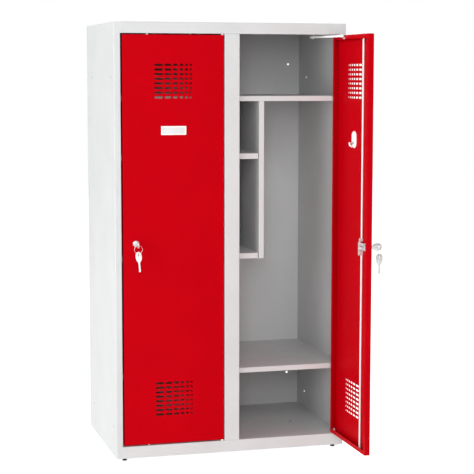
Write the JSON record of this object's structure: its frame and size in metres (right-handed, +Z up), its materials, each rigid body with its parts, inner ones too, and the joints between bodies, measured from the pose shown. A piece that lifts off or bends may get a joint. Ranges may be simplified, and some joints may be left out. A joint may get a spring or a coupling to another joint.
{
  "type": "school locker",
  "caption": "Upright steel locker cabinet with hinged key-locked doors, vent slots, rod bolts, an upper shelf, small side shelves and a low shelf.",
  "frame": {"origin": "on the floor, under the centre of the cabinet's plan, excluding the open door", "axes": "+Z up, +X to the right as seen from the front, -Y out through the front (the door side), +Y to the back"},
  "size_m": [0.8305, 0.849, 1.465],
  "materials": {
    "grey_panels": "satin",
    "red_panels": "satin",
    "white_steel": "satin",
    "zinc_steel": "satin",
    "nickel": "polished",
    "white_plastic": "matte",
    "grey_plastic": "matte",
    "card": "matte",
    "dark_plastic": "matte"
  },
  "bodies": {
    "cabinet": {"left_side_panel": "grey_panels", "right_side_panel": "grey_panels", "back_panel": "grey_panels", "top_panel": "grey_panels", "base_panel": "grey_panels", "centre_post": "grey_panels", "centre_divider": "grey_panels", "levelling_feet": "dark_plastic", "hinge_pins": "zinc_steel", "stay_brackets": "zinc_steel", "stay_guide_pins": "zinc_steel", "left_hat_shelf": "grey_panels", "left_partition": "grey_panels", "left_middle_small_shelf": "grey_panels", "left_lower_small_shelf": "grey_panels", "left_lower_shelf": "grey_panels", "right_hat_shelf": "grey_panels", "right_partition": "grey_panels", "right_middle_small_shelf": "grey_panels", "right_lower_small_shelf": "grey_panels", "right_lower_shelf": "grey_panels"},
    "left_door": {"left_door_panel": "red_panels", "left_door_bushes": "white_plastic", "left_label_holder": "grey_plastic", "left_label_card": "card", "left_lock_barrel": "nickel", "left_lock_nut": "zinc_steel", "left_coat_hook": "white_plastic", "left_stay_lug": "zinc_steel"},
    "left_lock": {"left_lock_plug": "nickel", "left_lock_cam": "zinc_steel", "left_key": "nickel"},
    "left_upper_bolt": {"left_upper_rod": "white_steel", "left_upper_drive_plate": "zinc_steel"},
    "left_lower_bolt": {"left_lower_rod": "white_steel", "left_lower_drive_plate": "zinc_steel"},
    "left_stay": {"left_door_stay": "white_plastic"},
    "left_ring": {"left_key_ring": "nickel"},
    "left_spare": {"left_spare_key": "nickel"},
    "right_door": {"right_door_panel": "red_panels", "right_door_bushes": "white_plastic", "right_label_holder": "grey_plastic", "right_label_card": "card", "right_lock_barrel": "nickel", "right_lock_nut": "zinc_steel", "right_coat_hook": "white_plastic", "right_stay_lug": "zinc_steel"},
    "right_lock": {"right_lock_plug": "nickel", "right_lock_cam": "zinc_steel", "right_key": "nickel"},
    "right_upper_bolt": {"right_upper_rod": "white_steel", "right_upper_drive_plate": "zinc_steel"},
    "right_lower_bolt": {"right_lower_rod": "white_steel", "right_lower_drive_plate": "zinc_steel"},
    "right_stay": {"right_door_stay": "white_plastic"},
    "right_ring": {"right_key_ring": "nickel"},
    "right_spare": {"right_spare_key": "nickel"}
  },
  "joints": [
    {"name": "left_door_hinge", "type": "hinge", "parent": "cabinet", "child": "left_door", "pos_m": [-0.0335, -0.252, 0.739], "axis": [0, 0, 1], "range_deg": [0, 105]},
    {"name": "left_stay_pivot", "type": "hinge", "parent": "left_door", "child": "left_stay", "pos_m": [-0.1385, -0.2335, 1.421], "axis": [0, 0, 1], "range_deg": [-53, 0.5]},
    {"name": "left_lock_turn", "type": "hinge", "parent": "left_door", "child": "left_lock", "pos_m": [-0.3305, -0.257, 0.736], "axis": [0, -1, 0], "range_deg": [0, 90]},
    {"name": "left_upper_bolt_slide", "type": "slide", "parent": "left_door", "child": "left_upper_bolt", "axis": [0, 0, 1], "range_m": [0, 0.0143]},
    {"name": "left_lower_bolt_slide", "type": "slide", "parent": "left_door", "child": "left_lower_bolt", "axis": [0, 0, -1], "range_m": [0, 0.0143]},
    {"name": "left_ring_swing", "type": "hinge", "parent": "left_lock", "child": "left_ring", "pos_m": [-0.3305, -0.299, 0.73385], "axis": [1, 0, 0], "range_deg": [-50, 8]},
    {"name": "left_spare_key_swing", "type": "hinge", "parent": "left_ring", "child": "left_spare", "pos_m": [-0.3305, -0.299, 0.70685], "axis": [1, 0, 0], "range_deg": [-40, 8]},
    {"name": "right_door_hinge", "type": "hinge", "parent": "cabinet", "child": "right_door", "pos_m": [0.371, -0.252, 0.739], "axis": [0, 0, 1], "range_deg": [-90, 15]},
    {"name": "right_stay_pivot", "type": "hinge", "parent": "right_door", "child": "right_stay", "pos_m": [0.3525, -0.357, 1.421], "axis": [0, 0, 1], "range_deg": [-8, 45.5]},
    {"name": "right_lock_turn", "type": "hinge", "parent": "right_door", "child": "right_lock", "pos_m": [0.376, -0.549, 0.736], "axis": [1, 0, 0], "range_deg": [0, 90]},
    {"name": "right_upper_bolt_slide", "type": "slide", "parent": "right_door", "child": "right_upper_bolt", "axis": [0, 0, 1], "range_m": [0, 0.0143]},
    {"name": "right_lower_bolt_slide", "type": "slide", "parent": "right_door", "child": "right_lower_bolt", "axis": [0, 0, -1], "range_m": [0, 0.0143]},
    {"name": "right_ring_swing", "type": "hinge", "parent": "right_lock", "child": "right_ring", "pos_m": [0.418, -0.549, 0.73385], "axis": [0, 1, 0], "range_deg": [-50, 8]},
    {"name": "right_spare_key_swing", "type": "hinge", "parent": "right_ring", "child": "right_spare", "pos_m": [0.418, -0.549, 0.70685], "axis": [0, 1, 0], "range_deg": [-40, 8]}
  ],
  "couplings": [
    {"joint": "left_stay_pivot", "follows": "left_door_hinge", "ratio": -0.5},
    {"joint": "left_upper_bolt_slide", "follows": "left_lock_turn", "m_per_rad": 0.0090032},
    {"joint": "left_lower_bolt_slide", "follows": "left_lock_turn", "m_per_rad": 0.0090032},
    {"joint": "right_stay_pivot", "follows": "right_door_hinge", "ratio": -0.5},
    {"joint": "right_upper_bolt_slide", "follows": "right_lock_turn", "m_per_rad": 0.0090032},
    {"joint": "right_lower_bolt_slide", "follows": "right_lock_turn", "m_per_rad": 0.0090032}
  ]
}
